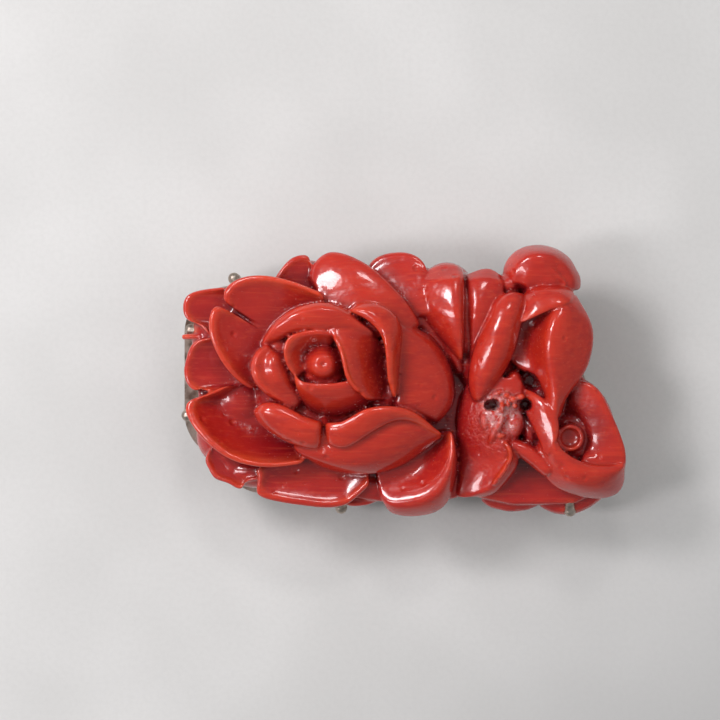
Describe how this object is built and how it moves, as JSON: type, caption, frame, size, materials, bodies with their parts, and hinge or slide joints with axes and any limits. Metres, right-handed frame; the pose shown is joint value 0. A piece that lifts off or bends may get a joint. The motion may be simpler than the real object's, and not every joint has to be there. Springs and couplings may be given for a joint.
{
  "type": "carved coral brooch",
  "caption": "Carved rose brooch in one piece of coral, held by claws on an open oblong metal setting with a pin behind.",
  "frame": {"origin": "under the middle of the brooch, on the plane that its setting rests on", "axes": "+Z out of the carved front, +X along the length from the rose to the side blossoms, +Y to the top edge as the picture shows it"},
  "size_m": [0.0444, 0.0272, 0.0149],
  "materials": {
    "coral": "polished",
    "setting_metal": "tarnished silver",
    "pin_metal": "satin"
  },
  "bodies": {
    "root": {"coral_carving": "coral", "setting_frame": "setting_metal", "pin_clasp": "pin_metal"}
  },
  "joints": []
}
